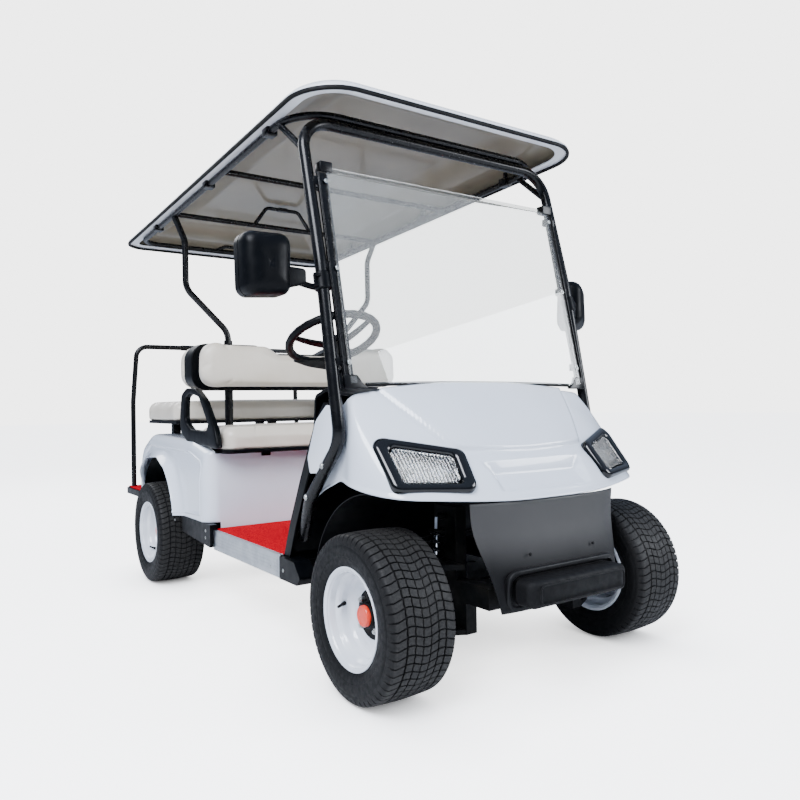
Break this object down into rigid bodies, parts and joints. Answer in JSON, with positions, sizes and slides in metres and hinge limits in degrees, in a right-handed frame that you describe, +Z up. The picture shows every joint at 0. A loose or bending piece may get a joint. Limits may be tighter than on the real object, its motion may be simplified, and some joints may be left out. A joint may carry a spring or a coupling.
{
  "type": "golf cart",
  "caption": "Low-speed passenger cart with an open cabin, canopy, clear windshield, back-to-back seats, rear step and steered front wheels.",
  "frame": {"origin": "on the ground, in the middle of the overall length and width", "axes": "-Y is the front of the cart, -X its driver's side (the vehicle's right), +Z is up"},
  "size_m": [1.5336, 2.8, 1.8491],
  "materials": {
    "tyre_rubber": "moulded rubber with a matte sidewall",
    "wheel_white": "white painted pressed steel",
    "frame_black": "semi-gloss black paint",
    "tube_black": "gloss black powder coat",
    "axle_metal": "dark cast metal",
    "body_white": "glossy white moulding",
    "roof_white": "smooth off-white moulding",
    "trim_black": "textured black plastic",
    "panel_dark": "satin dark grey plastic",
    "gloss_black": "glossy black plastic",
    "bumper_rubber": "black rubber",
    "mat_red": "red ribbed carpet",
    "sill_metal": "light grey brushed aluminium",
    "vinyl_cream": "cream vinyl",
    "clear": "clear polycarbonate",
    "lamp_red": "red acrylic lamp face",
    "bright": "mirror-bright reflector",
    "mirror_face": "mirror glass",
    "pack_grey": "battery cases"
  },
  "bodies": {
    "chassis": {"front_cowl": "body_white", "front_panel": "panel_dark", "chassis_frame": "frame_black", "front_arms": "frame_black", "front_dampers": "frame_black", "rear_axle": "axle_metal", "rear_springs": "frame_black", "floor_pan": "trim_black", "floor_mat": "mat_red", "sill_plates": "sill_metal", "rocker_trims": "trim_black", "lamp_bezels": "gloss_black", "lamp_lenses": "clear", "lamp_bowls": "bright", "front_bumper": "bumper_rubber", "fender_liners": "trim_black", "dash_panel": "trim_black", "rear_body": "body_white", "tail_lamps": "lamp_red", "seat_supports": "frame_black", "front_back_pad": "vinyl_cream", "rear_back_pad": "vinyl_cream", "backrest_shell": "trim_black", "hip_restraints": "trim_black", "front_hoop": "tube_black", "canopy": "roof_white", "canopy_gasket": "bumper_rubber", "roof_frame": "tube_black", "rear_struts": "tube_black", "windshield": "clear", "pane_clamps": "trim_black", "mirrors": "trim_black", "mirror_glass": "mirror_face", "steering_column": "trim_black", "pedals": "frame_black", "rear_step": "frame_black", "step_mat": "bumper_rubber", "grab_bar": "tube_black", "battery_pack": "pack_grey"},
    "knuckle_right": {"knuckle_right": "axle_metal"},
    "knuckle_left": {"knuckle_left": "axle_metal"},
    "tie_rod": {"tie_rod": "axle_metal"},
    "steering_wheel": {"steering_wheel": "trim_black"},
    "front_seat": {"front_board": "trim_black", "front_cushion": "vinyl_cream"},
    "rear_seat": {"rear_board": "trim_black", "rear_cushion": "vinyl_cream"},
    "wheel_front_right": {"tyre_front_right": "tyre_rubber", "rim_front_right": "wheel_white"},
    "wheel_front_left": {"tyre_front_left": "tyre_rubber", "rim_front_left": "wheel_white"},
    "wheel_rear_right": {"tyre_rear_right": "tyre_rubber", "rim_rear_right": "wheel_white"},
    "wheel_rear_left": {"tyre_rear_left": "tyre_rubber", "rim_rear_left": "wheel_white"}
  },
  "joints": [
    {"name": "right_knuckle_steer", "type": "hinge", "parent": "chassis", "child": "knuckle_right", "pos_m": [-0.352, -1.08, 0.2295], "axis": [0, 0, 1], "range_deg": [-28, 28]},
    {"name": "left_knuckle_steer", "type": "hinge", "parent": "chassis", "child": "knuckle_left", "pos_m": [0.352, -1.08, 0.2295], "axis": [0, 0, 1], "range_deg": [-28.5, 28.5]},
    {"name": "tie_rod_travel", "type": "slide", "parent": "chassis", "child": "tie_rod", "axis": [1, 0, 0], "range_m": [-0.058, 0.058]},
    {"name": "steering_wheel_turn", "type": "hinge", "parent": "chassis", "child": "steering_wheel", "pos_m": [-0.274, -0.491, 1.044], "axis": [0, 0.4509, 0.8926], "range_deg": [-281, 281]},
    {"name": "front_seat_hinge", "type": "hinge", "parent": "chassis", "child": "front_seat", "pos_m": [0, 0.305, 0.6254], "axis": [-1, 0, 0], "range_deg": [0, 45]},
    {"name": "rear_seat_hinge", "type": "hinge", "parent": "chassis", "child": "rear_seat", "pos_m": [0, 0.585, 0.735], "axis": [1, 0, 0], "range_deg": [0, 40]},
    {"name": "front_right_wheel_spin", "type": "hinge", "parent": "knuckle_right", "child": "wheel_front_right", "pos_m": [-0.4785, -1.08, 0.2295], "axis": [1, 0, 0], "continuous": true},
    {"name": "front_left_wheel_spin", "type": "hinge", "parent": "knuckle_left", "child": "wheel_front_left", "pos_m": [0.4785, -1.08, 0.2295], "axis": [1, 0, 0], "continuous": true},
    {"name": "rear_right_wheel_spin", "type": "hinge", "parent": "chassis", "child": "wheel_rear_right", "pos_m": [-0.5175, 0.68, 0.2295], "axis": [1, 0, 0], "continuous": true},
    {"name": "rear_left_wheel_spin", "type": "hinge", "parent": "chassis", "child": "wheel_rear_left", "pos_m": [0.5175, 0.68, 0.2295], "axis": [1, 0, 0], "continuous": true}
  ],
  "couplings": [
    {"joint": "left_knuckle_steer", "follows": "right_knuckle_steer", "ratio": 1},
    {"joint": "tie_rod_travel", "follows": "right_knuckle_steer", "m_per_rad": -0.116},
    {"joint": "steering_wheel_turn", "follows": "right_knuckle_steer", "ratio": 10}
  ]
}
